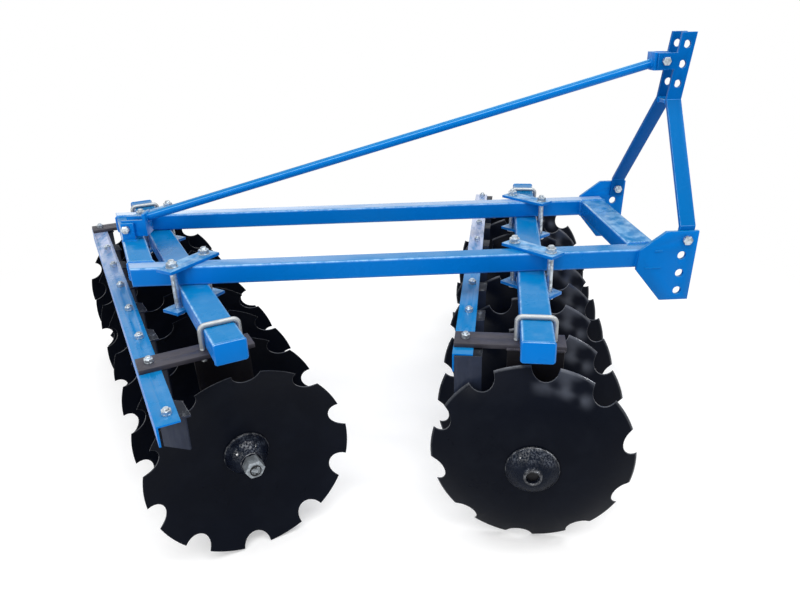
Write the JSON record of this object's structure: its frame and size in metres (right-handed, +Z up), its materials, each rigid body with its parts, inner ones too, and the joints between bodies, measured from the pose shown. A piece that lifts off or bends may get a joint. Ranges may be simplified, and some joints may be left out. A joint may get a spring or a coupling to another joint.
{
  "type": "disc harrow",
  "caption": "Mounted offset disc harrow: angled gangs of notched, dished discs roll under a box-tube frame with scrapers and a linkage mast.",
  "frame": {"origin": "middle of the machine's outline on the ground, at the height on which the discs stand", "axes": "+X forward to the tractor, +Y to the machine's left, +Z up"},
  "size_m": [1.9082, 1.5438, 1.097],
  "materials": {
    "blue_paint": "glossy blue enamel",
    "black_paint": "semi-gloss black",
    "disc_steel": "satin blue-black",
    "scraper_steel": "satin dark grey",
    "galvanised": "dull zinc coat",
    "zinc": "bright zinc plate"
  },
  "bodies": {
    "frame": {"bearings_front": "black_paint", "bearings_rear": "black_paint", "clamp_bolts": "galvanised", "clamp_plates_lower": "blue_paint", "clamp_plates_upper": "blue_paint", "cross_arms_front": "black_paint", "cross_arms_rear": "black_paint", "cross_tube_front": "blue_paint", "cross_tube_rear": "blue_paint", "gang_beam_front": "blue_paint", "gang_beam_rear": "blue_paint", "hangers_front": "black_paint", "hangers_rear": "black_paint", "hitch_plate_left": "blue_paint", "hitch_plate_right": "blue_paint", "mast_foot_bolts": "zinc", "mast_spacer": "blue_paint", "mast_strap_left": "blue_paint", "mast_strap_right": "blue_paint", "rail_left": "blue_paint", "rail_right": "blue_paint", "scraper_bar_front": "blue_paint", "scraper_bar_rear": "blue_paint", "scraper_bolts_front": "zinc", "scraper_bolts_rear": "zinc", "scrapers_front": "scraper_steel", "scrapers_rear": "scraper_steel", "stay_bolts": "zinc", "stay_lugs": "blue_paint", "stay_pipe": "blue_paint", "stay_yoke_front": "blue_paint", "stay_yoke_rear": "blue_paint", "u_bolts_front": "galvanised", "u_bolts_rear": "galvanised"},
    "front_gang": {"discs_front": "disc_steel", "end_washers_front": "black_paint", "gang_nut_front": "zinc", "gang_shaft_front": "black_paint", "spools_front": "black_paint"},
    "rear_gang": {"discs_rear": "disc_steel", "end_washers_rear": "black_paint", "gang_nut_rear": "zinc", "gang_shaft_rear": "black_paint", "spools_rear": "black_paint"}
  },
  "joints": [
    {"name": "front_gang_roll", "type": "hinge", "parent": "frame", "child": "front_gang", "pos_m": [0.54009, 0.02906, 0.23], "axis": [0.1805, 0.9836, 0], "continuous": true},
    {"name": "rear_gang_roll", "type": "hinge", "parent": "frame", "child": "rear_gang", "pos_m": [-0.48668, 0.03246, 0.23], "axis": [-0.4258, 0.9048, 0], "continuous": true}
  ]
}
